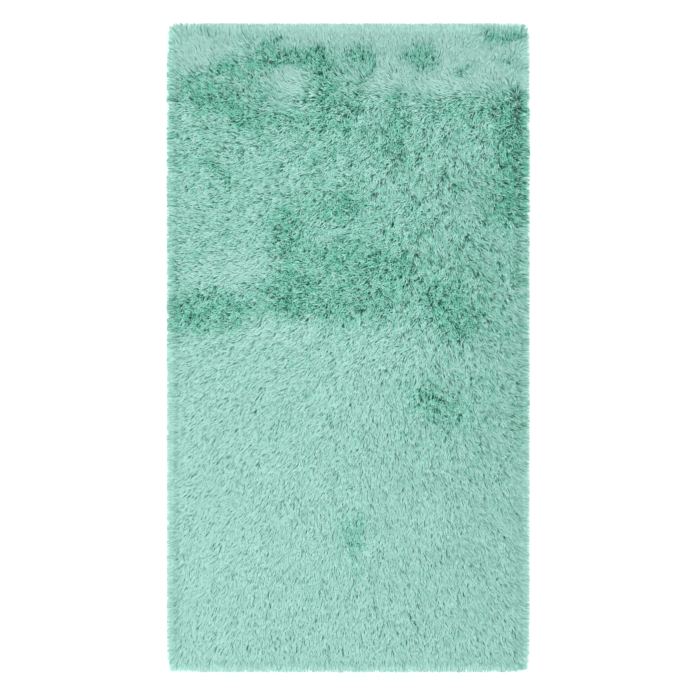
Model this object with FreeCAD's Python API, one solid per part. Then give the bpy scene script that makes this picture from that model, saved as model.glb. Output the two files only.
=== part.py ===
"""Plush bath mat, 500 by 900 mm, as the layers and trims that it is sewn from.

Millimetres. The mat lies flat on the floor, its width along X and its length along Y, +Z up.
The origin is on the floor, under the middle of the mat.

From the floor up: a rubber backing with grip dots, the scrim that it is cast on, a foam core, the
ground cloth and the pile. An overlock thread holds the cut edges together, and a folded binding
tape closes them. A needle thread above and a bobbin thread below sew the tape down, and the
bobbin thread also holds a care label, which lies under the mat and flaps out about that seam.
"""

import FreeCAD, Part
import math
import os

# Mat outline, over the binding tape
mat_width = 500.0
mat_length = 900.0
corner_radius = 10.0
smallest_corner = 1.0  # an outline far inside the edge still turns on this radius

# Layers
grip_sheet_thickness = 0.8
scrim_thickness = 0.4
foam_thickness = 6.0
ground_thickness = 0.8

# Pile, which stands on the ground cloth and hangs over the edge
pile_height = 16.0
pile_overhang = 3.5
pile_hem_height = 1.5  # lowest tips, above the floor
pile_shoulder = 7.0  # rounding of the pile's upper edge
pile_hem_round = 1.2
pile_clearance = 0.3  # between the pile and the binding's sides

# Binding tape, folded round the edge
tape_thickness = 1.0
tape_leg = 8.0
tape_fold_round = 0.6

# Sewing threads
thread_diameter = 0.4
thread_sink = 0.05  # how deep a pulled stitch lies below the tape's face
thread_side_gap = 0.05
stitch_inset = 5.5  # from the mat's edge to the seam
overlock_thickness = 0.3

# Grip dots, moulded with the backing
dot_proud = 0.2  # how far the dots stand below the tape
dot_foot_diameter = 5.2
dot_base_diameter = 7.0
dot_pitch = 30.0
dot_margin = 7.0  # from the binding's inner edge to the nearest dot
dot_label_gap = 4.0

# Care label, satin ribbon
label_width = 28.0
label_length = 42.0
label_thickness = 0.3
label_y = -300.0
label_thread_gap = 0.1  # between the label's end and the thread that it turns about
label_bed_gap = 0.1

# Heights of the stack, worked out from the layers
tape_bottom = dot_proud
grip_sheet_bottom = tape_bottom + tape_thickness
scrim_bottom = grip_sheet_bottom + grip_sheet_thickness
foam_bottom = scrim_bottom + scrim_thickness
ground_bottom = foam_bottom + foam_thickness
ground_top = ground_bottom + ground_thickness
tape_top = ground_top + tape_thickness
pile_top = ground_top + pile_height

# Insets from the mat's edge
overlock_inset = tape_thickness
layer_inset = overlock_inset + overlock_thickness

# Seam grooves, and the threads' centres in them
groove_depth = thread_diameter + thread_sink
groove_half_width = thread_diameter / 2 + thread_side_gap
needle_thread_z = tape_top - groove_depth + thread_diameter / 2
bobbin_thread_z = tape_bottom + groove_depth - thread_diameter / 2

# Care label's hinge line, which is the bobbin thread's centre
label_hinge_x = mat_width / 2 - stitch_inset
label_hinge_z = bobbin_thread_z
label_end_gap = thread_diameter / 2 + label_thread_gap


def outline(inset, z):
    """Closed wire of the mat's outline, moved inwards by inset, at height z."""
    x = mat_width / 2 - inset
    y = mat_length / 2 - inset
    r = max(corner_radius - inset, smallest_corner)
    corners = [(1, 1, 0), (-1, 1, 90), (-1, -1, 180), (1, -1, 270)]
    edges = []
    for sign_x, sign_y, turn in corners:
        centre = FreeCAD.Vector(sign_x * (x - r), sign_y * (y - r), z)
        points = []
        for angle in (turn, turn + 45, turn + 90):
            a = math.radians(angle)
            points.append(centre + FreeCAD.Vector(r * math.cos(a), r * math.sin(a), 0))
        if edges:
            edges.append(Part.LineSegment(last_point, points[0]).toShape())
        else:
            first_point = points[0]
        edges.append(Part.Arc(*points).toShape())
        last_point = points[2]
    edges.append(Part.LineSegment(last_point, first_point).toShape())
    return Part.Wire(edges)


def slab(inset, bottom, top):
    """Flat solid with the mat's outline moved inwards by inset, from bottom to top."""
    face = Part.Face(outline(inset, bottom))
    return face.extrude(FreeCAD.Vector(0, 0, top - bottom))


def ring(outer_inset, inner_inset, bottom, top):
    """Flat frame between two outlines."""
    return slab(outer_inset, bottom, top).cut(slab(inner_inset, bottom - 1, top + 1))


def box(x_range, y_range, z_range):
    """Upright box from its low and high ends along each axis."""
    low = FreeCAD.Vector(x_range[0], y_range[0], z_range[0])
    sides = [high - start for start, high in (x_range, y_range, z_range)]
    return Part.makeBox(*sides, low)


def edges_at(solid, z):
    """The solid's edges that lie in the plane at height z."""
    return [e for e in solid.Edges if abs(e.BoundBox.ZMin - z) < 1e-6 and abs(e.BoundBox.ZMax - z) < 1e-6]


def pile():
    """Pile as one soft block: a thick cover with a skirt that hides the binding."""
    block = slab(-pile_overhang, pile_hem_height, pile_top)
    block = block.makeFillet(pile_shoulder, edges_at(block, pile_top))
    block = block.makeFillet(pile_hem_round, edges_at(block, pile_hem_height))
    under_pile = slab(-pile_clearance, pile_hem_height - 1, tape_top)
    foot = slab(tape_leg + pile_clearance, ground_top, tape_top + 1)
    return block.cut(under_pile.cut(foot))


def ground_cloth():
    """Knitted cloth that holds the pile."""
    return slab(layer_inset, ground_bottom, ground_top)


def foam_core():
    """Foam sheet that makes the mat soft underfoot."""
    return slab(layer_inset, foam_bottom, ground_bottom)


def backing_scrim():
    """Thin felted cloth, between the foam and the rubber that is cast on it."""
    return slab(layer_inset, scrim_bottom, foam_bottom)


def dot_places():
    """Centres of the grip dots: staggered rows, clear of the binding and the label."""
    reach_x = mat_width / 2 - tape_leg - dot_margin - dot_base_diameter / 2
    reach_y = mat_length / 2 - tape_leg - dot_margin - dot_base_diameter / 2
    row_pitch = dot_pitch * math.sqrt(3) / 2
    keep_out = dot_base_diameter / 2 + dot_label_gap
    label_low_y, label_high_y = label_y_range(keep_out)
    label_low_x = label_hinge_x - label_length - keep_out
    last_row = int(reach_y / row_pitch)
    for row in range(-last_row, last_row + 1):
        y = row * row_pitch
        odd = row % 2
        last_column = int(reach_x / dot_pitch - odd / 2)
        for column in range(-last_column - odd, last_column + 1):
            x = (column + odd / 2) * dot_pitch
            if x > label_low_x and label_low_y < y < label_high_y:
                continue
            yield x, y


def grip_backing():
    """Rubber sheet with dots moulded on it, each one tapering down to the floor."""
    dots = []
    for x, y in dot_places():
        foot = FreeCAD.Vector(x, y, 0)
        dots.append(Part.makeCone(dot_foot_diameter / 2, dot_base_diameter / 2, grip_sheet_bottom, foot))
    sheet = slab(layer_inset, grip_sheet_bottom, scrim_bottom)
    return sheet.multiFuse(dots).Solids[0]


def overlock_thread():
    """Thread band that holds the cut edges together before they are bound."""
    return ring(overlock_inset, layer_inset, grip_sheet_bottom, ground_top)


def seam_groove(bottom, top):
    """Groove that a pulled row of stitches presses into the tape."""
    return ring(stitch_inset - groove_half_width, stitch_inset + groove_half_width, bottom, top)


def edge_binding():
    """Tape folded round the edge: an upper leg, a lower leg and the fold between them."""
    tape = slab(0, tape_bottom, tape_top)
    tape = tape.makeFillet(tape_fold_round, edges_at(tape, tape_bottom) + edges_at(tape, tape_top))
    tape = tape.cut(slab(overlock_inset, grip_sheet_bottom, ground_top))
    tape = tape.cut(slab(tape_leg, -1, tape_top + 1))
    tape = tape.cut(seam_groove(tape_top - groove_depth, tape_top + 1))
    tape = tape.cut(seam_groove(-1, tape_bottom + groove_depth))
    return tape.cut(label_bed())


def label_y_range(gap=0.0):
    """Low and high Y of the care label, wider by gap on each side."""
    return (label_y - label_width / 2 - gap, label_y + label_width / 2 + gap)


def label_bed():
    """Shallow bed across the tape's lower leg, where the label lies tucked under or flapped out."""
    x_range = (mat_width / 2 - tape_leg - 1, mat_width / 2 + 1)
    z_range = (-1, label_hinge_z + label_thickness / 2 + label_bed_gap)
    return box(x_range, label_y_range(label_bed_gap), z_range)


def care_label():
    """Ribbon that lies under the mat, and flaps out from its edge about the bobbin thread."""
    x_range = (label_hinge_x - label_length, label_hinge_x - label_end_gap)
    z_range = (label_hinge_z - label_thickness / 2, label_hinge_z + label_thickness / 2)
    return box(x_range, label_y_range(), z_range)


def thread_loop(centre_z):
    """Round thread along the whole seam, at one height, joined in the middle of a straight side."""
    start = FreeCAD.Vector(mat_width / 2 - stitch_inset, 0, centre_z)
    section = Part.Wire(Part.makeCircle(thread_diameter / 2, start, FreeCAD.Vector(0, 1, 0)))
    path = Part.Wire(starting_at(start, outline(stitch_inset, centre_z)))
    return path.makePipeShell([section], True, False)


def starting_at(start, path):
    """Edges of a closed path, beginning and ending at a point inside one of its straight runs."""
    edges = list(path.OrderedEdges)
    at = min(range(len(edges)), key=lambda i: edges[i].distToShape(Part.Vertex(start))[0])
    before = [v.Point for v in edges[at - 1].Vertexes]
    near, far = [v.Point for v in edges[at].Vertexes]
    if min(far.distanceToPoint(p) for p in before) < min(near.distanceToPoint(p) for p in before):
        near, far = far, near
    first = Part.LineSegment(start, far).toShape()
    last = Part.LineSegment(near, start).toShape()
    return [first] + edges[at + 1:] + edges[:at] + [last]


def needle_thread():
    """Upper thread of the binding seam, in the upper leg's groove."""
    return thread_loop(needle_thread_z)


def bobbin_thread():
    """Lower thread of the binding seam, in the lower leg's groove."""
    return thread_loop(bobbin_thread_z)


sub_parts = [
    pile,
    ground_cloth,
    foam_core,
    backing_scrim,
    grip_backing,
    overlock_thread,
    edge_binding,
    needle_thread,
    bobbin_thread,
    care_label,
]

os.makedirs("parts", exist_ok=True)
for make in sub_parts:
    shape = make()
    shape.exportStep(f"parts/{make.__name__}.step")
    size = shape.optimalBoundingBox()
    print(
        f"{make.__name__}: {shape.ShapeType}, {len(shape.Solids)} solid(s), {shape.Volume:.0f} mm3,"
        f" {size.XLength:.2f} x {size.YLength:.2f} x {size.ZLength:.2f} mm,"
        f" z {size.ZMin:.2f} to {size.ZMax:.2f}, valid {shape.isValid()}"
    )
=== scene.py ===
"""Plush bath mat: combed pile, layers, bound edge, seam threads, grip backing and care label.

The file is laid out as an add-on. One operator makes each piece, or each group of like pieces, and
a panel in the 3D view's sidebar lists them. Lengths are in metres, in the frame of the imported
model: +X across the mat, +Y along it, +Z up from the floor.
"""

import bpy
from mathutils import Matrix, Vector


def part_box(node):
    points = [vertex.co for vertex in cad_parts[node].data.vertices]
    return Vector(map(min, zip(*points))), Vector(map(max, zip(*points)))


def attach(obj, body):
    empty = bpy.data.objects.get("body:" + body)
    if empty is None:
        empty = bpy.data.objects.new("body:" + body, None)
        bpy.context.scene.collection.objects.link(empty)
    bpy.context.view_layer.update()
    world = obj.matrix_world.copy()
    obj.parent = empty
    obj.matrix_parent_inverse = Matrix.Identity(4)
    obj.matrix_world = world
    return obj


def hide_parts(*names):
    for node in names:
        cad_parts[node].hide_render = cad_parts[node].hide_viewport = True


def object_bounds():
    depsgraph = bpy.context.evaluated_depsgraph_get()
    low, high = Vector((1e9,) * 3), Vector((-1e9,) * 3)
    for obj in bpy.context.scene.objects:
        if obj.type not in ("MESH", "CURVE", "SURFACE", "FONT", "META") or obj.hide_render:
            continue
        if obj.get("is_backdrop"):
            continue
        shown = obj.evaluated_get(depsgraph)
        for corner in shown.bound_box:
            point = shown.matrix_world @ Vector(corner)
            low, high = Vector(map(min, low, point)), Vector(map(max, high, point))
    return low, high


bl_info = {
    "name": "Plush Bath Mat",
    "version": (1, 0, 0),
    "blender": (4, 5, 0),
    "location": "3D View > Sidebar > Bath Mat",
    "description": "Makes a plush bath mat with a combed pile, a bound edge and a grip backing",
    "category": "Add Mesh",
}

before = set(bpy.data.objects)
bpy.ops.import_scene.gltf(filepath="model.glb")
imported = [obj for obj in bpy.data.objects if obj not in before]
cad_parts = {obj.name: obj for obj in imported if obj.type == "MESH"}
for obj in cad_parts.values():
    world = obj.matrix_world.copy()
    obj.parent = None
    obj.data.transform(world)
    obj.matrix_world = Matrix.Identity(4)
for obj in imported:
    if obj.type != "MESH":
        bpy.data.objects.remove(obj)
cad_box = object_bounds()

import math
from collections import namedtuple

import bmesh
import bpy
import numpy as np
from bpy.props import FloatProperty, FloatVectorProperty, IntProperty, PointerProperty
from bpy.types import Operator, Panel, PropertyGroup
from mathutils import Matrix, Vector

MM = 0.001

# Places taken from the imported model
PILE_LOW, PILE_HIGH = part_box("pile")
GROUND_LOW, GROUND_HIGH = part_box("ground_cloth")
TAPE_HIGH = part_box("edge_binding")[1]
FOAM_LOW, FOAM_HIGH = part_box("foam_core")
SCRIM_LOW, SCRIM_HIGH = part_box("backing_scrim")
NEEDLE_LOW, NEEDLE_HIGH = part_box("needle_thread")
BOBBIN_LOW, BOBBIN_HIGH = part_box("bobbin_thread")
LABEL_LOW, LABEL_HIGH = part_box("care_label")

HALF_WIDTH = TAPE_HIGH.x
HALF_LENGTH = TAPE_HIGH.y
CORNER_RADIUS = 10 * MM
LAYER_CORNER_RADIUS = CORNER_RADIUS - (HALF_WIDTH - GROUND_HIGH.x)
SEAM_INSET = HALF_WIDTH - (NEEDLE_HIGH.x - (NEEDLE_HIGH.z - NEEDLE_LOW.z) / 2)
ROOT_INSET = 8 * MM  # the outermost tufts root just inside the binding tape
RUBBER_SHEET = 0.8 * MM  # thickness of the rubber between its dots

# Distance between the ribs of a wave texture at scale 1
STRAIGHT_WAVE = 0.31
DIAGONAL_WAVE = 0.444

# Which way the strands point, in degrees turned from +X, by distance along the mat in millimetres:
# at the left edge, in the middle and at the right edge
NAP_HEADINGS = [
    (450, 110, 92, 80),
    (418, 130, 102, 64),
    (386, 160, 124, 88),
    (357, 172, 168, 150),
    (328, 185, 213, 230),
    (285, 188, 213, 280),
    (240, 189, 213, 318),
    (200, 190, 213, 318),
    (60, 196, 216, 315),
    (-40, 208, 232, 312),
    (-150, 222, 255, 306),
    (-300, 240, 262, 300),
    (-450, 252, 268, 298),
]

# How far the strands are brushed up, from 0 lying smooth to 1 standing, at the same three places. It also
# sets their colour: painted shade where they stand and painted sheen where they lie smooth
NAP_LIFTS = [
    (450, 0.20, 0.04, 0.10),
    (430, 0.30, 0.06, 0.14),
    (400, 0.44, 0.36, 0.06),
    (362, 0.52, 0.46, 0.06),
    (345, 0.52, 0.54, 0.46),
    (250, 0.42, 0.50, 0.49),
    (150, 0.40, 0.52, 0.50),
    (50, 0.44, 0.56, 0.50),
    (15, 0.30, 0.34, 0.44),
    (-100, 0.25, 0.31, 0.44),
    (-200, 0.23, 0.30, 0.34),
    (-450, 0.22, 0.27, 0.28),
]

# Marks that a hand or a brush left in the nap: a line from one end to the other and the width
# across it, in millimetres, and how much more the strands are brushed up there, or how much less
Mark = namedtuple("Mark", "x0 y0 x1 y1 width lift")
# Like the lifts, a mark's lift also paints the strands darker there, as painted shade
NAP_MARKS = [
    Mark(-218, 368, -196, 352, 36, 0.55),
    Mark(-196, 396, -118, 402, 24, 0.55),
    Mark(-150, 378, -150, 378, 44, 0.18),
    Mark(-102, 404, -42, 412, 24, 0.90),
    Mark(-128, 424, -96, 434, 16, 0.50),
    Mark(-42, 410, -37, 348, 26, 0.62),
    Mark(-192, 347, -138, 308, 28, 0.62),
    Mark(-112, 318, -8, 302, 28, 0.26),
    Mark(10, 416, 16, 412, 30, 0.80),
    Mark(27, 394, 8, 352, 12, 0.55),
    Mark(4, 345, -2, 318, 22, 0.26),
    Mark(98, 406, 98, 406, 38, 1.10),
    Mark(190, 437, 243, 437, 23, 0.62),
    Mark(152, 386, 172, 402, 11, 0.80),
    Mark(205, 402, 246, 400, 18, 0.56),
    Mark(238, 205, 234, 338, 60, 0.85),
    Mark(66, 275, 62, 345, 30, 0.38),
    Mark(110, 326, 165, 322, 34, 0.20),
    Mark(-200, 262, -165, 232, 10, 0.50),
    Mark(-24, 193, -2, 191, 30, 0.55),
    Mark(-90, 185, -82, 60, 40, 0.42),
    Mark(-32, 122, 78, 112, 36, 0.42),
    Mark(-95, 70, 45, 62, 52, 0.32),
    Mark(112, 74, 112, 74, 24, 0.60),
    Mark(142, 56, 152, 34, 40, 1.45),
    Mark(-240, 45, -175, 48, 50, 0.46),
    Mark(112, -72, 145, -94, 46, 0.36),
    Mark(4, -254, 6, -268, 36, 0.34),
    Mark(8, -280, 12, -316, 20, 0.20),
    Mark(-85, 380, -85, 380, 48, -0.75),
    Mark(-225, 405, -205, 410, 44, -0.55),
    Mark(44, 385, 215, 392, 44, -0.22),
    Mark(-109, 440, 183, 440, 18, -0.14),
    Mark(-206, 108, -130, 108, 44, -0.20),
    Mark(-130, 22, -60, 22, 36, -0.20),
]

# How the nap wanders, as waves of (size across one, how far it goes)
MARK_WAVES = [(30 * MM, 5 * MM), (9 * MM, 4 * MM)]
LIFT_WAVES = [(50 * MM, 0.05), (20 * MM, 0.07), (8 * MM, 0.09)]
HEADING_WAVES = [(45 * MM, math.radians(24)), (13 * MM, math.radians(27))]
PARTING_WAVES = [(7 * MM, math.radians(150))]
TIP_REACH = 10 * MM  # about how far a strand's tip lies from its root, seen from above

# Locks are the little groups of strands that lie alike: how large one is for each thing that they share,
# which is their turn, lean, tone, partly random and partly painted shade between the locks, and the way that
# their tips gather
LOCK_SIZES = [2.7 * MM, 2.4 * MM, 2.1 * MM, 3.2 * MM, 3.2 * MM]
LOCK_SWAY = 1.5 * MM
LOCK_SWAY_SIZE = 4 * MM
Locks = namedtuple("Locks", "turn lean tone gather_x gather_y")

# How each strand of a piece lies, as columns with one value for each strand. The angles first and
# last are its slope at the root and at the tip, from upright.
Lay = namedtuple("Lay", "x y way_x way_y first last length girth twist proud gather_x gather_y")


class PileSettings(PropertyGroup):
    """Sizes and colours of the pile."""

    pitch: FloatProperty(
        name="Tuft Pitch",
        description="Distance between neighbouring tufts",
        default=1.39 * MM,
        unit="LENGTH",
    )
    rim_pitch: FloatProperty(
        name="Rim Pitch",
        description="Distance between the tufts along the mat's edge",
        default=1.2 * MM,
        unit="LENGTH",
    )
    rim_depth: FloatProperty(
        name="Rim Depth",
        description="Width of the border whose tufts hang over the edge",
        default=10 * MM,
        unit="LENGTH",
    )
    length: FloatProperty(
        name="Strand Length",
        description="Length of a tuft from root to tip",
        default=14.5 * MM,
        unit="LENGTH",
    )
    thickness: FloatProperty(
        name="Tuft Thickness",
        description="Width across a tuft at its widest",
        default=1.35 * MM,
        unit="LENGTH",
    )
    # Painted shade: the root colour where the nap lies smooth, darker as the shade deep in the pile
    smooth_shaded_root: FloatVectorProperty(
        name="Smooth Root",
        description="Root colour where the nap lies smooth",
        default=(0.19, 0.49, 0.40),
        size=3,
        subtype="COLOR",
    )
    # Painted sheen: the tip colour where the nap lies smooth, paler as the sheen of a flat nap
    smooth_sheen_tip: FloatVectorProperty(
        name="Smooth Tip",
        description="Tip colour where the nap lies smooth",
        default=(0.48, 0.715, 0.665),
        size=3,
        subtype="COLOR",
    )
    # Painted shade: the root colour where the nap is brushed up, nearly black green as the shade deep in the
    # open pile
    brushed_shaded_root: FloatVectorProperty(
        name="Brushed Root",
        description="Root colour where the nap is brushed up",
        default=(0.006, 0.14, 0.075),
        size=3,
        subtype="COLOR",
    )
    # Painted shade: the tip colour where the nap is brushed up, darker than the smooth tips
    brushed_shaded_tip: FloatVectorProperty(
        name="Brushed Tip",
        description="Tip colour where the nap is brushed up",
        default=(0.16, 0.56, 0.42),
        size=3,
        subtype="COLOR",
    )
    seed: IntProperty(name="Seed", description="Start of every random draw", default=7)


class TrimSettings(PropertyGroup):
    """Sizes and colours of the binding, the seam, the layers and the label."""

    stitch_length: FloatProperty(
        name="Stitch Length",
        description="Length of one stitch of the seam",
        default=3 * MM,
        unit="LENGTH",
    )
    twill_pitch: FloatProperty(
        name="Twill Pitch",
        description="Distance between the tape's woven ribs",
        default=0.9 * MM,
        unit="LENGTH",
    )
    tape_colour: FloatVectorProperty(
        name="Tape Colour",
        description="Colour of the binding tape",
        default=(0.15, 0.41, 0.32),
        size=3,
        subtype="COLOR",
    )
    thread_colour: FloatVectorProperty(
        name="Thread Colour",
        description="Colour of the sewing threads",
        default=(0.25, 0.53, 0.44),
        size=3,
        subtype="COLOR",
    )
    ground_colour: FloatVectorProperty(
        name="Ground Colour",
        description="Colour of the knitted ground",
        default=(0.05, 0.21, 0.15),
        size=3,
        subtype="COLOR",
    )
    foam_colour: FloatVectorProperty(
        name="Foam Colour",
        description="Colour of the foam core",
        default=(0.72, 0.70, 0.62),
        size=3,
        subtype="COLOR",
    )
    scrim_colour: FloatVectorProperty(
        name="Scrim Colour",
        description="Colour of the felted scrim",
        default=(0.55, 0.57, 0.54),
        size=3,
        subtype="COLOR",
    )
    rubber_colour: FloatVectorProperty(
        name="Rubber Colour",
        description="Colour of the grip backing",
        default=(0.36, 0.41, 0.385),
        size=3,
        subtype="COLOR",
    )
    label_colour: FloatVectorProperty(
        name="Label Colour",
        description="Colour of the satin label",
        default=(0.58, 0.58, 0.55),
        size=3,
        subtype="COLOR",
    )


class StageSettings(PropertyGroup):
    """Floor, lights and camera."""

    view_width: FloatProperty(
        name="View Width",
        description="Width that the camera sees at the mat",
        default=0.968,
        unit="LENGTH",
    )
    camera_height: FloatProperty(
        name="Camera Height",
        description="Height of the camera above the floor",
        default=3.2,
        unit="LENGTH",
    )
    sky_light: FloatProperty(
        name="Sky Light",
        description="Strength of the even light",
        default=1.5,
        min=0,
    )
    key_light: FloatProperty(
        name="Key Light",
        description="Power of the soft key light",
        default=105.0,
        unit="POWER",
    )


def finished(bm, name, material):
    """New object at the origin from a bmesh, with its material."""
    mesh = bpy.data.meshes.new(name)
    bm.to_mesh(mesh)
    bm.free()
    return placed(mesh, name, material)


def placed(mesh, name, material):
    """New object at the origin from a mesh, with its material."""
    piece = bpy.data.objects.new(name, mesh)
    bpy.context.scene.collection.objects.link(piece)
    mesh.materials.append(material)
    return piece


def smooth(piece):
    """Shades a piece smooth."""
    piece.data.polygons.foreach_set("use_smooth", [True] * len(piece.data.polygons))


# Materials


class Surface:
    """A new material, its shader and short ways to add nodes."""

    def __init__(self, name, **constants):
        self.material = bpy.data.materials.new(name)
        self.material.use_nodes = True
        self.tree = self.material.node_tree
        self.shader = self.tree.nodes["Principled BSDF"]
        for socket, value in constants.items():
            self.shader.inputs[socket.replace("_", " ")].default_value = value

    def node(self, kind, inputs=None, **settings):
        """Adds a node. Inputs are given by name or number, as numbers or as other nodes' outputs."""
        node = self.tree.nodes.new("ShaderNode" + kind)
        for key, value in settings.items():
            setattr(node, key, value)
        for key, value in (inputs or {}).items():
            if isinstance(value, bpy.types.NodeSocket):
                self.tree.links.new(value, node.inputs[key])
            else:
                node.inputs[key].default_value = value
        return node

    def link(self, output, socket):
        """Links an output to one of the shader's sockets."""
        self.tree.links.new(output, self.shader.inputs[socket])

    def place(self, scale=(1, 1, 1)):
        """Object coordinates, scaled along each axis."""
        coordinates = self.node("TexCoord")
        mapping = self.node("Mapping", {"Vector": coordinates.outputs["Object"], "Scale": scale})
        return mapping.outputs["Vector"]

    def ramp(self, factor, *stops):
        """Colour ramp from (place, colour) stops."""
        node = self.node("ValToRGB", {"Fac": factor})
        elements = node.color_ramp.elements
        while len(elements) < len(stops):
            elements.new(0.5)
        for element, (place, colour) in zip(elements, stops):
            element.position = place
            element.color = (*colour, 1)
        return node.outputs["Color"]

    def bump(self, height, distance):
        """Raises the surface by a height from 0 to 1, times a distance."""
        node = self.node("Bump", {"Height": height, "Distance": distance, "Strength": 0.6})
        self.link(node.outputs["Normal"], "Normal")


def tinted(colour, factor):
    """A colour made lighter or darker."""
    return tuple(min(c * factor, 1.0) for c in colour)


def pile_surface(settings):
    """Soft microfibre, with painted shade that makes it darker and more saturated at the roots, and pale at
    the tips.

    Each tuft reads its own line of the UV map: along it lies its length, and across it how smooth the nap is
    there, with random tone. A nap that lies flat is painted paler, as painted sheen, and one that is brushed
    up is painted darker, as painted shade of its depth.
    """
    s = Surface("pile_microfibre", Sheen_Weight=0.12, Sheen_Roughness=0.45)
    s.shader.inputs["Sheen Tint"].default_value = (0.85, 1.0, 0.96, 1)
    s.shader.inputs["Specular IOR Level"].default_value = 0.2
    strand = s.node("UVMap", uv_map="OFBake")
    place = s.node("SeparateXYZ", {"Vector": strand.outputs["UV"]})
    along, sheen_shade_and_tone = place.outputs["X"], place.outputs["Y"]
    nap_sheen_and_shade = []
    # Each nap's ramp runs from painted shade at the root to the tip, and its very end is painted lighter, as
    # painted highlight on the tips, most on the brushed nap
    for root, tip, paling, end in (
        (settings.brushed_shaded_root, settings.brushed_shaded_tip, 0.1, 1.8),
        (settings.smooth_shaded_root, settings.smooth_sheen_tip, 0.45, 1.08),
    ):
        middle = tuple(r + (t - r) * paling for r, t in zip(root, tip))
        nap_sheen_and_shade.append(s.ramp(along, (0.1, root), (0.55, middle), (0.86, tip), (1.0, tinted(tip, end))))
    # Painted sheen where the nap lies smooth, painted shade where it is brushed up
    colour = s.node("Mix", {0: sheen_shade_and_tone, 6: nap_sheen_and_shade[0], 7: nap_sheen_and_shade[1]}, data_type="RGBA")
    s.link(colour.outputs[2], "Base Color")
    gloss = s.node("MapRange", {"Value": along, "To Min": 0.85, "To Max": 0.6})
    s.link(gloss.outputs["Result"], "Roughness")
    return s.material


def woven_surface(name, colour, pitch, crossing=0.35):
    """Twill: ribs that run aslant on every side of the piece, crossed by the yarns under them."""
    s = Surface(name, Roughness=0.8, Sheen_Weight=0.2)
    waves = []
    for lean, share in ((1, 1.0), (-1, crossing)):
        ribs = s.node(
            "TexWave",
            {
                "Vector": s.place((1, lean, 1)),
                "Scale": DIAGONAL_WAVE / pitch,
                "Distortion": 0.5,
                "Detail": 1.0,
            },
            bands_direction="DIAGONAL",
        )
        waves.append(s.node("Math", {0: ribs.outputs["Fac"], 1: share}, operation="MULTIPLY").outputs[0])
    weave = s.node("Math", {0: waves[0], 1: waves[1]}, operation="ADD").outputs[0]
    cloud = s.node("TexNoise", {"Vector": s.place(), "Scale": 60.0, "Detail": 4.0})
    both = s.node("Math", {0: weave, 1: cloud.outputs["Fac"]}, operation="ADD")
    s.link(s.ramp(both.outputs[0], (0.3, tinted(colour, 0.68)), (1.0, tinted(colour, 1.12))), "Base Color")
    s.bump(weave, pitch / 3)
    return s.material


def felt_surface(name, colour, scale, **constants):
    """Felt, foam or thread: fine cloudy tone with a matching bump."""
    s = Surface(name, **constants)
    grain_height = 0.4 / scale
    fine = s.node("TexNoise", {"Vector": s.place(), "Scale": scale, "Detail": 6.0, "Roughness": 0.65})
    coarse = s.node("TexNoise", {"Vector": s.place(), "Scale": scale / 14, "Detail": 3.0})
    both = s.node("Math", {0: fine.outputs["Fac"], 1: coarse.outputs["Fac"]}, operation="MULTIPLY")
    s.link(s.ramp(both.outputs[0], (0.12, tinted(colour, 0.72)), (0.42, tinted(colour, 1.1))), "Base Color")
    s.bump(fine.outputs["Fac"], grain_height)
    return s.material


def satin_surface(colour):
    """Satin ribbon: fine ribs across it, and a firmer selvedge along each long edge."""
    s = Surface("label_satin", Roughness=0.35, Sheen_Weight=0.3, Anisotropic=0.6)
    rib_pitch = 0.45 * MM
    middle = (LABEL_LOW.y + LABEL_HIGH.y) / 2
    selvedge_inner = LABEL_HIGH.y - middle - 2.4 * MM
    selvedge_outer = LABEL_HIGH.y - middle - 2.0 * MM
    place = s.node("SeparateXYZ", {"Vector": s.place()})
    ribs = s.node("TexWave", {"Vector": s.place(), "Scale": STRAIGHT_WAVE / rib_pitch, "Distortion": 0.3})
    aside = s.node("Math", {0: place.outputs["Y"], 1: middle}, operation="SUBTRACT")
    away = s.node("Math", {0: aside.outputs[0]}, operation="ABSOLUTE")
    selvedge = s.node(
        "MapRange", {"Value": away.outputs[0], "From Min": selvedge_inner, "From Max": selvedge_outer}
    )
    cloud = s.node("TexNoise", {"Vector": s.place(), "Scale": 180.0, "Detail": 4.0})
    tone = s.node("Math", {0: ribs.outputs["Fac"], 1: cloud.outputs["Fac"]}, operation="ADD")
    cloth = s.ramp(tone.outputs[0], (0.4, tinted(colour, 0.82)), (1.0, tinted(colour, 1.08)))
    firm = (*tinted(colour, 0.72), 1)
    mixed = s.node("Mix", {0: selvedge.outputs["Result"], 6: cloth, 7: firm}, data_type="RGBA")
    s.link(mixed.outputs[2], "Base Color")
    s.bump(ribs.outputs["Fac"], 0.08 * MM)
    return s.material


def rubber_surface(colour):
    """Moulded rubber with a fine cast grain, its dots smoother and a little darker than the sheet."""
    s = Surface("moulded_rubber")
    sheet_bottom = SCRIM_LOW.z - RUBBER_SHEET
    dots_begin = sheet_bottom - 0.2 * MM
    place = s.node("SeparateXYZ", {"Vector": s.place()})
    height = place.outputs["Z"]
    change = s.node("MapRange", {"Value": height, "From Min": dots_begin, "From Max": sheet_bottom})
    sheet = change.outputs["Result"]
    grain = s.node("TexNoise", {"Vector": s.place(), "Scale": 900.0, "Detail": 4.0, "Roughness": 0.6})
    cells = s.node("TexVoronoi", {"Vector": s.place(), "Scale": 420.0})
    speckle = s.node("Math", {0: grain.outputs["Fac"], 1: cells.outputs["Distance"]}, operation="ADD")
    cast = s.ramp(speckle.outputs[0], (0.4, tinted(colour, 0.78)), (1.1, tinted(colour, 1.12)))
    mixed = s.node("Mix", {0: sheet, 6: (*tinted(colour, 0.66), 1), 7: cast}, data_type="RGBA")
    s.link(mixed.outputs[2], "Base Color")
    gloss = s.node("MapRange", {"Value": sheet, "To Min": 0.38, "To Max": 0.7})
    s.link(gloss.outputs["Result"], "Roughness")
    s.bump(speckle.outputs[0], 0.12 * MM)
    return s.material


# Pile


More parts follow.
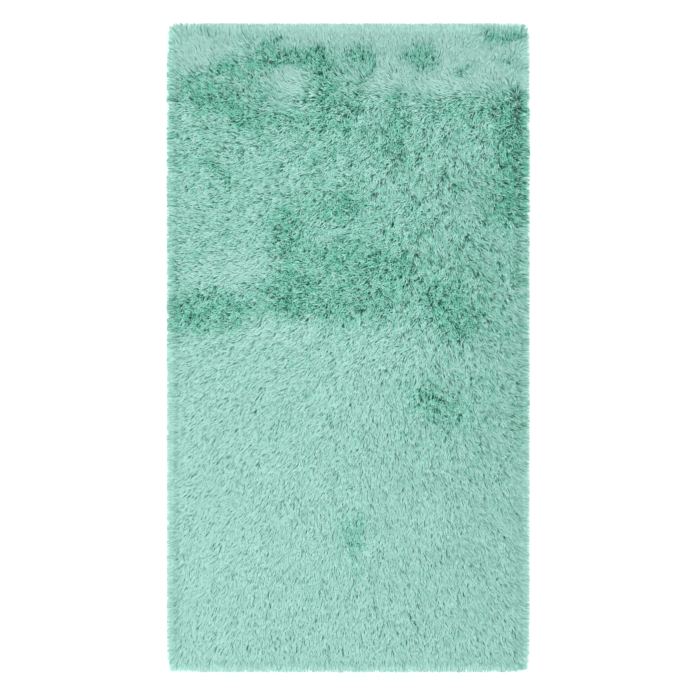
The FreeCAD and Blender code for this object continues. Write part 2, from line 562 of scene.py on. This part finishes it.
def noise(x, y, cell, seed):
    """Smooth random values from -1 to 1, with one draw for each cell."""
    cells = 256  # along each side, before the draws repeat
    start = 1000  # keeps the cells' numbers above 0
    draws = np.random.default_rng(seed).uniform(-1, 1, (cells, cells))
    across, along = x / cell + start, y / cell + start
    i, j = np.floor(across).astype(int), np.floor(along).astype(int)
    u, v = eased(across - i), eased(along - j)
    low = draws[i % cells, j % cells] * (1 - u) + draws[(i + 1) % cells, j % cells] * u
    high = draws[i % cells, (j + 1) % cells] * (1 - u) + draws[(i + 1) % cells, (j + 1) % cells] * u
    return low * (1 - v) + high * v


def wander(x, y, waves, seed):
    """Sum of noise in several sizes, each with the next seed."""
    return sum(far * noise(x, y, size, seed + number) for number, (size, far) in enumerate(waves))


def eased(t):
    """Slow start and end between 0 and 1."""
    t = np.clip(t, 0, 1)
    return t * t * (3 - 2 * t)


def between(low, high, share):
    """Low where the share is 0, high where it is 1."""
    return low + (high - low) * share


def past_outline(x, y, inset):
    """How far points lie outside the mat's outline moved inwards by inset, and the way out there."""
    radius = max(CORNER_RADIUS - inset, 1 * MM)
    over_x = np.maximum(np.abs(x) - (HALF_WIDTH - inset - radius), 0)
    over_y = np.maximum(np.abs(y) - (HALF_LENGTH - inset - radius), 0)
    far = np.hypot(over_x, over_y)
    inside = np.maximum(np.abs(x) - (HALF_WIDTH - inset), np.abs(y) - (HALF_LENGTH - inset))
    distance = np.where(far > 0, far - radius, np.minimum(inside, 0))
    long_side = np.abs(x) - HALF_WIDTH > np.abs(y) - HALF_LENGTH
    out_x = np.where(far > 0, over_x, long_side) * np.sign(x)
    out_y = np.where(far > 0, over_y, ~long_side) * np.sign(y)
    size = np.maximum(np.hypot(out_x, out_y), 1e-9)
    return distance, out_x / size, out_y / size


def outwards(x, y):
    """Direction to the nearest edge, fanning out smoothly round the corners."""
    fan = 40 * MM
    over_x = np.maximum(np.abs(x) - (HALF_WIDTH - fan), 0) * np.sign(x)
    over_y = np.maximum(np.abs(y) - (HALF_LENGTH - fan), 0) * np.sign(y)
    far = np.maximum(np.hypot(over_x, over_y), 1e-9)
    return over_x / far, over_y / far


def across_rows(rows, x, y):
    """Value at each root from rows of (distance along, left, middle, right)."""
    rows = np.array(rows)[::-1]
    left, middle, right = (np.interp(y / MM, rows[:, 0], rows[:, i]) for i in (1, 2, 3))
    share = x / HALF_WIDTH
    return middle + np.where(share < 0, middle - left, right - middle) * share


def nap(x, y, seed):
    """The nap at each root: the way the strands point, how far they are brushed up, a little less where two
    naps part so that their colour is painted paler there against the shade in the parting, and how far they
    stand up, which is more where two naps part."""
    turned = [(row[0], *np.radians(row[1:])) for row in NAP_HEADINGS]
    way_x = across_rows([(row[0], *np.cos(row[1:])) for row in turned], x, y)
    way_y = across_rows([(row[0], *np.sin(row[1:])) for row in turned], x, y)
    lift = across_rows(NAP_LIFTS, x, y)

    # It wanders least where it lies smooth, except at the far end of the mat
    rough = np.interp(lift, (0.28, 0.5), (0.3, 1.0))
    rough = np.maximum(rough, np.interp(y / MM, (340, 390), (0.3, 1.2)))

    # A mark shows where the strands' tips lie
    tip_x = x + TIP_REACH * way_x + wander(x, y, MARK_WAVES, seed + 1)
    tip_y = y + TIP_REACH * way_y + wander(x, y, MARK_WAVES, seed + 3)
    for mark in NAP_MARKS:
        lift += mark.lift * np.exp(-((2 * from_mark(mark, tip_x, tip_y) / (mark.width * MM)) ** 2))
    lift += rough * wander(x, y, LIFT_WAVES, seed + 5)

    # The mean way is short between rows that point apart, down to 0 between opposite ones
    agreement = np.hypot(way_x, way_y)
    parting = eased(1.2 - agreement / 0.45)
    turn = wander(x, y, HEADING_WAVES, seed + 8)
    turn += (1 - agreement) * wander(x, y, PARTING_WAVES, seed + 10)
    heading = np.arctan2(way_y, way_x) + turn * between(0.4, 1.0, rough)
    # The brushed-up value is lowered where two naps part, as painted light that lightens the shaded gap
    # there
    return heading, np.clip(lift - 0.08 * parting, 0, 1), np.clip(lift + 0.22 * parting, 0, 1)


def from_mark(mark, x, y):
    """Distance of each point from the line of a mark."""
    start_x, start_y, end_x, end_y = (end * MM for end in mark[:4])
    run_x, run_y = end_x - start_x, end_y - start_y
    span = max(run_x**2 + run_y**2, 1e-9)
    at = np.clip(((x - start_x) * run_x + (y - start_y) * run_y) / span, 0, 1)
    return np.hypot(x - start_x - at * run_x, y - start_y - at * run_y)


def tuft_mesh(widest, joints):
    """One tuft standing on the origin, of unit height: a three-sided spindle.

    It is widest at a share of its height, and above that it has as many spans to bend in as joints.
    """
    fuller = 1.12  # a strand stays a little fuller than a straight cone
    bm = bmesh.new()
    bmesh.ops.create_cone(bm, cap_ends=True, segments=3, radius1=0.5, radius2=0, depth=1 - widest)
    bmesh.ops.remove_doubles(bm, verts=bm.verts, dist=1e-5)
    bmesh.ops.translate(bm, vec=(0, 0, (1 + widest) / 2), verts=bm.verts)
    base = min(bm.faces, key=lambda face: face.calc_center_median().z)
    root = bmesh.ops.poke(bm, faces=[base])["verts"]
    bmesh.ops.translate(bm, vec=(0, 0, -widest), verts=root)
    for joint in range(1, joints):
        height = widest + (1 - widest) * joint / joints
        geom = bm.verts[:] + bm.edges[:] + bm.faces[:]
        cut = bmesh.ops.bisect_plane(bm, geom=geom, plane_co=(0, 0, height), plane_no=(0, 0, 1))
        ring = [v for v in cut["geom_cut"] if isinstance(v, bmesh.types.BMVert)]
        bmesh.ops.scale(bm, vec=(fuller, fuller, 1), verts=ring)
    bmesh.ops.triangulate(bm, faces=bm.faces)
    bmesh.ops.recalc_face_normals(bm, faces=bm.faces)
    bm.loops.layers.uv.new("OFBake")
    mesh = bpy.data.meshes.new("tuft")
    bm.to_mesh(mesh)
    bm.free()
    return mesh


def planted(name, tuft, count, material):
    """Piece with count copies of the tuft, all still standing on the origin."""
    one = bpy.data.objects.new("tuft", tuft)
    bpy.context.scene.collection.objects.link(one)
    array = one.modifiers.new("plant", "ARRAY")
    array.count = count
    array.use_relative_offset = False
    shaped = one.evaluated_get(bpy.context.evaluated_depsgraph_get())
    mesh = bpy.data.meshes.new_from_object(shaped)
    mesh.name = name
    bpy.data.objects.remove(one)
    return placed(mesh, name, material)


def root_grid(x_range, y_range, pitch, rng):
    """Roots in staggered rows, each moved a little at random."""
    row_pitch = 0.87 * pitch
    stray = 0.22 * pitch
    columns = max(round((x_range[1] - x_range[0]) / pitch), 1)
    rows = max(round((y_range[1] - y_range[0]) / row_pitch), 1)
    i, j = (a.ravel() for a in np.meshgrid(np.arange(columns), np.arange(rows)))
    x = x_range[0] + (i + 0.25 + 0.5 * (j % 2)) * (x_range[1] - x_range[0]) / columns
    y = y_range[0] + (j + 0.5) * (y_range[1] - y_range[0]) / rows
    return x + rng.normal(0, stray, x.size), y + rng.normal(0, stray, x.size)


def locks_at(x, y, seed):
    """What the strands of one lock share, as noise from -1 to 1."""
    lock_x = x + LOCK_SWAY * noise(x, y, LOCK_SWAY_SIZE, seed)
    lock_y = y + LOCK_SWAY * noise(x, y, LOCK_SWAY_SIZE, seed + 1)
    return Locks(*(noise(lock_x, lock_y, size, seed + 2 + i) for i, size in enumerate(LOCK_SIZES)))


def strand_lay(x, y, settings, rng):
    """How each strand lies, and the painted sheen, painted shade and random tone of its colour there."""
    count = len(x)

    # How close to the edge, from 0 to 1: nearby begins farther in than near
    edge = past_outline(x, y, 0)[0]
    near, nearby = (eased(1 + (edge + ROOT_INSET) / reach) for reach in (9 * MM, 14 * MM))
    heading, lift, stand = nap(x, y, settings.seed)
    lock = locks_at(x, y, settings.seed + 20)
    disorder = between(0.24, 1.36, lift)

    # Along the nap, but outwards at the edge
    heading = heading + disorder * (np.radians(34) * lock.turn + np.radians(18) * rng.normal(size=count))
    out_x, out_y = outwards(x, y)
    way_x = np.cos(heading) * between(1, 0.25, nearby) + out_x * nearby
    way_y = np.sin(heading) * between(1, 0.25, nearby) + out_y * nearby
    size = np.maximum(np.hypot(way_x, way_y), 1e-6)

    # Steep at the root, and over at the tip where the nap lies smooth
    slant = stand * between(1, 0.3, near)
    lean = disorder * (np.radians(20) * lock.lean + np.radians(11) * rng.normal(size=count))
    first = np.radians(between(22, 4, slant) + 9 * near) + lean * 0.5
    last = np.radians(between(90, 30, slant) + 8 * near) + lean
    last = np.clip(last, first + np.radians(12), np.radians(102))

    uneven = 0.075 * rng.normal(size=count) + between(0.02, 0.3, lift) * lock.lean
    length = settings.length * np.clip(1 + uneven, 0.65, 1.2) * between(1, 1.32, near)
    girth = settings.thickness * rng.uniform(0.75, 1.2, count) * between(0.82, 1.42, lift)
    proud = rng.uniform(3.4, 5.2, count) * MM
    twist = rng.uniform(0, 2 * np.pi, count)
    gather = between(0.6, 5.2, lift) * MM
    gather_x, gather_y = gather * lock.gather_x, gather * lock.gather_y
    values = (x, y, way_x / size, way_y / size, first, last, length, girth, twist, proud, gather_x, gather_y)

    # Random tone of each lock and strand, stronger where the nap is brushed up, where it also serves as
    # painted shade between the locks
    tone_and_lock_shade = between(0.03, 1.13, lift) * lock.tone + between(0.03, 0.35, lift) * rng.normal(size=count)
    # Paler where the nap lies smooth, as painted sheen, darker where it is brushed up, as painted shade, and
    # a little paler at the edge, as painted light against the shade on the sloping rim
    sheen_shade_and_tone = between(1.12, -0.03, lift) + 0.04 * near + tone_and_lock_shade
    return Lay(*(value[:, None] for value in values)), sheen_shade_and_tone


def laid_down(points, lay):
    """Places of the tuft's points for each strand, bent along an arc from its first to its last slope."""
    share = points[:, 2][None, :]
    bend = lay.last - lay.first
    angle = lay.first + bend * share
    reach = lay.length * (np.cos(lay.first) - np.cos(angle)) / bend
    rise = lay.length * (np.sin(angle) - np.sin(lay.first)) / bend
    side = lay.girth * (points[:, 0] * np.cos(lay.twist) - points[:, 1] * np.sin(lay.twist))
    back = lay.girth * (points[:, 0] * np.sin(lay.twist) + points[:, 1] * np.cos(lay.twist))
    forward = reach - back * np.cos(angle)
    px = lay.x + lay.way_x * forward - lay.way_y * side + lay.gather_x * share**2
    py = lay.y + lay.way_y * forward + lay.way_x * side + lay.gather_y * share**2
    pz = GROUND_HIGH.z + rise + back * np.sin(angle)
    return np.stack(over_the_edge(px, py, pz, lay.proud), -1)


def comb(piece, tuft, x, y, settings, rng):
    """Lays each tuft of a planted piece along the nap, over the edge where it reaches that far."""
    points = np.empty(len(tuft.vertices) * 3)
    tuft.vertices.foreach_get("co", points)
    points = points.reshape(-1, 3)
    lay, sheen_shade_and_tone = strand_lay(x, y, settings, rng)
    piece.data.vertices.foreach_set("co", laid_down(points, lay).ravel())

    # Along the UV map lies the strand's length, which the material paints darker towards the root as painted
    # shade, and across it the painted sheen, shade and tone, spread a little round the tuft so that its
    # faces have an area there
    corners = np.empty(len(tuft.loops), int)
    tuft.loops.foreach_get("vertex_index", corners)
    spin = np.arctan2(points[corners, 1], points[corners, 0]) / np.pi
    u = np.broadcast_to(between(0.01, 0.99, points[corners, 2]), (len(x), len(corners)))
    v = np.clip(sheen_shade_and_tone, 0.03, 0.97)[:, None] + 0.02 * spin[None, :]
    piece.data.uv_layers["OFBake"].uv.foreach_set("vector", np.stack((u, v), -1).ravel())
    piece.data.update()
    smooth(piece)


def over_the_edge(x, y, z, proud):
    """Bends what lies past the edge round it and down, as the pile drapes over the binding.

    Each tuft stays at least its own distance, proud, off the bend's core."""
    bend_inset = 4.5 * MM
    bend_radius = 3.2 * MM
    path_radius = bend_radius + 2.5 * MM  # in the middle of the pile as it goes round the bend
    lowest = PILE_LOW.z + 0.3 * MM
    past, out_x, out_y = past_outline(x, y, bend_inset)
    past = np.maximum(past, 0)
    height = np.maximum(z - TAPE_HIGH.z, -2 * MM)
    lifted = height * between(1, 0.55, eased(past / (6 * MM)))
    clear = proud * eased(past / (5 * MM))
    radius = bend_radius + np.maximum(lifted, clear + 0.3 * lifted)
    turn = np.minimum(past / path_radius, np.pi / 2)
    fallen = np.maximum(past - path_radius * np.pi / 2, 0)
    shift = radius * np.sin(turn) - past
    drop_z = TAPE_HIGH.z - bend_radius + radius * np.cos(turn) - fallen
    bent = past > 0
    new_z = np.where(bent, np.maximum(drop_z, lowest), z)
    return x + np.where(bent, out_x * shift, 0), y + np.where(bent, out_y * shift, 0), new_z


def rounded_slab(low, high, radius):
    """Flat slab with rounded corners, between two corners of its box."""
    bm = bmesh.new()
    bmesh.ops.create_grid(bm, x_segments=1, y_segments=1, size=1)
    bmesh.ops.scale(bm, vec=(high.x, high.y, 1), verts=bm.verts)
    bmesh.ops.bevel(
        bm, geom=bm.verts[:], offset=radius, segments=6, profile=0.5, affect="VERTICES", material=-1
    )
    lifted = bmesh.ops.extrude_face_region(bm, geom=bm.faces[:])
    top = [v for v in lifted["geom"] if isinstance(v, bmesh.types.BMVert)]
    bmesh.ops.translate(bm, vec=(0, 0, high.z - low.z), verts=top)
    bmesh.ops.translate(bm, vec=(0, 0, low.z), verts=bm.verts)
    bmesh.ops.recalc_face_normals(bm, faces=bm.faces)
    return bm


class BATHMAT_OT_pile(Operator):
    """Knit the ground cloth, then plant and comb its pile: bands across the mat, and a rim that
    hangs over the edge"""

    bl_idname = "bathmat.pile"
    bl_label = "Pile"

    def execute(self, context):
        settings = context.scene.bathmat_pile
        surface = pile_surface(settings)
        rng = np.random.default_rng(settings.seed)
        half_x, half_y = HALF_WIDTH - ROOT_INSET, HALF_LENGTH - ROOT_INSET
        inner_x, inner_y = half_x - settings.rim_depth, half_y - settings.rim_depth
        bands = 8
        knit_pitch = 1.2 * MM
        made = []
        tuft = tuft_mesh(0.52, joints=1)
        for band in range(bands):
            low, high = (inner_y * (2 * (band + step) / bands - 1) for step in (0, 1))
            x, y = root_grid((-inner_x, inner_x), (low, high), settings.pitch, rng)
            made.append(planted(f"pile_band_{band + 1}", tuft, len(x), surface))
            comb(made[-1], tuft, x, y, settings, rng)
        sides = [
            ("right", (inner_x, half_x), (-half_y, half_y)),
            ("left", (-half_x, -inner_x), (-half_y, half_y)),
            ("far", (-inner_x, inner_x), (inner_y, half_y)),
            ("near", (-inner_x, inner_x), (-half_y, -inner_y)),
        ]
        tuft = tuft_mesh(0.34, joints=3)
        for side, x_range, y_range in sides:
            x, y = root_grid(x_range, y_range, settings.rim_pitch, rng)
            made.append(planted(f"pile_rim_{side}", tuft, len(x), surface))
            comb(made[-1], tuft, x, y, settings, rng)

        ground_colour = context.scene.bathmat_trim.ground_colour
        knit = woven_surface("ground_knit", ground_colour, knit_pitch, crossing=1.0)
        slab = rounded_slab(GROUND_LOW, GROUND_HIGH, LAYER_CORNER_RADIUS)
        ground = finished(slab, "ground_cloth_knit", knit)
        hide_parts("ground_cloth")
        for piece in made:
            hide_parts("pile")
        for piece in (ground, *made):
            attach(piece, "mat")
        return {"FINISHED"}


class BATHMAT_OT_layers(Operator):
    """Make the layers under the ground cloth: foam core and backing scrim"""

    bl_idname = "bathmat.layers"
    bl_label = "Layers"

    def execute(self, context):
        trim = context.scene.bathmat_trim
        foam = felt_surface("open_cell_foam", trim.foam_colour, 900.0, Roughness=0.95)
        felt = felt_surface("scrim_felt", trim.scrim_colour, 1500.0, Roughness=0.9)
        core = finished(rounded_slab(FOAM_LOW, FOAM_HIGH, LAYER_CORNER_RADIUS), "foam_sheet", foam)
        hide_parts("foam_core")
        scrim = finished(rounded_slab(SCRIM_LOW, SCRIM_HIGH, LAYER_CORNER_RADIUS), "scrim_felt_sheet", felt)
        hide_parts("backing_scrim")
        for piece in (core, scrim):
            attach(piece, "mat")
        return {"FINISHED"}


# Trims


def repaint(node, material):
    """Gives a CAD node's object a better material."""
    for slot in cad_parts[node].material_slots:
        slot.material = material


class BATHMAT_OT_grip_backing(Operator):
    """Finish the rubber backing and its moulded dots"""

    bl_idname = "bathmat.grip_backing"
    bl_label = "Grip Backing"

    def execute(self, context):
        repaint("grip_backing", rubber_surface(context.scene.bathmat_trim.rubber_colour))
        return {"FINISHED"}


class BATHMAT_OT_binding(Operator):
    """Finish the binding tape and the overlocked edge inside it"""

    bl_idname = "bathmat.binding"
    bl_label = "Binding"

    def execute(self, context):
        trim = context.scene.bathmat_trim
        overlock_pitch = 0.8 * MM
        repaint("edge_binding", woven_surface("twill_tape", trim.tape_colour, trim.twill_pitch))
        repaint("overlock_thread", woven_surface("overlock_yarn", trim.thread_colour, overlock_pitch))
        return {"FINISHED"}


def seam_places(stitch_length):
    """Middles and directions of the stitches round the seam."""
    radius = CORNER_RADIUS - SEAM_INSET
    x, y = HALF_WIDTH - SEAM_INSET, HALF_LENGTH - SEAM_INSET
    runs = [2 * (y - radius), math.pi / 2 * radius, 2 * (x - radius), math.pi / 2 * radius] * 2
    total = sum(runs)
    count = round(total / stitch_length)
    for i in range(count):
        along = (i + 0.5) * total / count
        at = Vector((x, -(y - radius)))
        heading = Vector((0, 1))
        for number, run in enumerate(runs):
            step = min(along, run)
            if number % 2 == 0:
                at = at + heading * step
            else:
                turn = step / radius
                left = Vector((-heading.y, heading.x))
                at = at + heading * radius * math.sin(turn) + left * radius * (1 - math.cos(turn))
                heading = Matrix.Rotation(turn, 2) @ heading
            along -= run
            if along <= 0:
                break
        yield at, math.atan2(heading.y, heading.x)


def stitch_row(name, centre_z, thickness, stitch_length, material):
    """Row of lockstitches: plump beads of thread, one from each needle hole to the next."""
    bead_length = 0.98 * stitch_length
    bead = bmesh.new()
    bmesh.ops.create_uvsphere(bead, u_segments=5, v_segments=4, radius=0.5)
    bmesh.ops.rotate(bead, verts=bead.verts, matrix=Matrix.Rotation(math.pi / 2, 3, "Y"))
    bmesh.ops.scale(bead, verts=bead.verts, vec=(bead_length, thickness, thickness))
    shape = bpy.data.meshes.new("bead")
    bead.to_mesh(shape)
    bead.free()
    bm = bmesh.new()
    for at, angle in seam_places(stitch_length):
        start = len(bm.verts)
        bm.from_mesh(shape)
        bm.verts.ensure_lookup_table()
        place = Matrix.Translation((at.x, at.y, centre_z)) @ Matrix.Rotation(angle, 4, "Z")
        bmesh.ops.transform(bm, matrix=place, verts=bm.verts[start:])
    bpy.data.meshes.remove(shape)
    piece = finished(bm, name, material)
    smooth(piece)
    return piece


class BATHMAT_OT_seam(Operator):
    """Sew the binding's two rows of lockstitch, above and below"""

    bl_idname = "bathmat.seam"
    bl_label = "Seam"

    def execute(self, context):
        trim = context.scene.bathmat_trim
        yarn = felt_surface("sewing_thread", trim.thread_colour, 1800.0, Roughness=0.6, Sheen_Weight=0.3)
        rows = [
            ("needle_stitches", "needle_thread", NEEDLE_LOW, NEEDLE_HIGH),
            ("bobbin_stitches", "bobbin_thread", BOBBIN_LOW, BOBBIN_HIGH),
        ]
        for name, node, low, high in rows:
            piece = stitch_row(name, (low.z + high.z) / 2, high.z - low.z, trim.stitch_length, yarn)
            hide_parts(node)
            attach(piece, "mat")
        return {"FINISHED"}


class BATHMAT_OT_care_label(Operator):
    """Make the blank satin label that flaps out from the seam"""

    bl_idname = "bathmat.care_label"
    bl_label = "Care Label"

    def execute(self, context):
        trim = context.scene.bathmat_trim
        satin = satin_surface(trim.label_colour)
        size = LABEL_HIGH - LABEL_LOW
        bm = bmesh.new()
        bmesh.ops.create_cube(bm, size=1)
        bmesh.ops.scale(bm, vec=size, verts=bm.verts)
        rounding = 0.12 * MM
        bmesh.ops.bevel(
            bm, geom=bm.edges[:], offset=rounding, segments=2, profile=0.5, affect="EDGES", material=-1
        )
        bmesh.ops.translate(bm, vec=(LABEL_LOW + LABEL_HIGH) / 2, verts=bm.verts)
        label = finished(bm, "care_label_ribbon", satin)
        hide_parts("care_label")
        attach(label, "label")
        return {"FINISHED"}


# Stage


class BATHMAT_OT_stage(Operator):
    """Set the pale floor, the soft studio lights and the camera straight above the mat"""

    bl_idname = "bathmat.stage"
    bl_label = "Stage"

    def execute(self, context):
        stage = context.scene.bathmat_stage
        scene = context.scene
        paint = Surface("pale_floor", Roughness=0.9)
        paint.shader.inputs["Base Color"].default_value = (0.93, 0.93, 0.93, 1)
        bm = bmesh.new()
        bmesh.ops.create_grid(bm, x_segments=1, y_segments=1, size=6)
        floor = finished(bm, "floor", paint.material)
        floor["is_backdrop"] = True

        world = bpy.data.worlds.new("studio")
        world.use_nodes = True
        world.node_tree.nodes["Background"].inputs["Color"].default_value = (1, 1, 1, 1)
        world.node_tree.nodes["Background"].inputs["Strength"].default_value = stage.sky_light
        scene.world = world

        lamp = bpy.data.lights.new("key", "AREA")
        lamp.shape = "DISK"
        lamp.size = 2.4
        lamp.energy = stage.key_light
        key = bpy.data.objects.new("key", lamp)
        key.location = (-1.0, -0.9, 3.9)
        key.rotation_euler = (-key.location).to_track_quat("-Z", "Y").to_euler()
        scene.collection.objects.link(key)

        lens = bpy.data.cameras.new("camera")
        lens.sensor_width = 36.0
        lens.lens = lens.sensor_width * (stage.camera_height - PILE_HIGH.z) / stage.view_width
        camera = bpy.data.objects.new("camera", lens)
        camera.location = (0, 0, stage.camera_height)
        scene.collection.objects.link(camera)
        scene.camera = camera
        scene.view_settings.view_transform = "Standard"
        return {"FINISHED"}


class BATHMAT_PT_panel(Panel):
    """Lists the mat's pieces and their settings"""

    bl_idname = "BATHMAT_PT_panel"
    bl_label = "Bath Mat"
    bl_space_type = "VIEW_3D"
    bl_region_type = "UI"
    bl_category = "Bath Mat"

    def draw(self, context):
        for title, group, operators in PANEL_ROWS:
            box = self.layout.box()
            box.label(text=title)
            settings = getattr(context.scene, group)
            for name in settings.__annotations__:
                box.prop(settings, name)
            for operator in operators:
                box.operator(operator.bl_idname)


PANEL_ROWS = [
    ("Pile", "bathmat_pile", [BATHMAT_OT_pile]),
    (
        "Layers and trims",
        "bathmat_trim",
        [
            BATHMAT_OT_layers,
            BATHMAT_OT_grip_backing,
            BATHMAT_OT_binding,
            BATHMAT_OT_seam,
            BATHMAT_OT_care_label,
        ],
    ),
    ("Stage", "bathmat_stage", [BATHMAT_OT_stage]),
]
SETTINGS = {"bathmat_pile": PileSettings, "bathmat_trim": TrimSettings, "bathmat_stage": StageSettings}
OPERATORS = [operator for _, _, operators in PANEL_ROWS for operator in operators]


def register():
    """Adds the settings, the operators and the panel to Blender."""
    for kind in [*SETTINGS.values(), *OPERATORS, BATHMAT_PT_panel]:
        bpy.utils.register_class(kind)
    for name, group in SETTINGS.items():
        setattr(bpy.types.Scene, name, PointerProperty(type=group))


def unregister():
    """Takes them out again."""
    for name in SETTINGS:
        delattr(bpy.types.Scene, name)
    for kind in [BATHMAT_PT_panel, *reversed(OPERATORS), *SETTINGS.values()]:
        bpy.utils.unregister_class(kind)


def main():
    """Makes the stage and every piece, and works out the bounds of the model and of the whole."""
    register()
    bpy.ops.bathmat.stage()
    bpy.ops.bathmat.pile()
    bpy.ops.bathmat.layers()
    bpy.ops.bathmat.grip_backing()
    bpy.ops.bathmat.binding()
    bpy.ops.bathmat.seam()
    bpy.ops.bathmat.care_label()
    boxes = {"cad": cad_box, "visual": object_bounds()}
    {name: [list(corner) for corner in box] for name, box in boxes.items()}


if __name__ == "__main__":
    main()
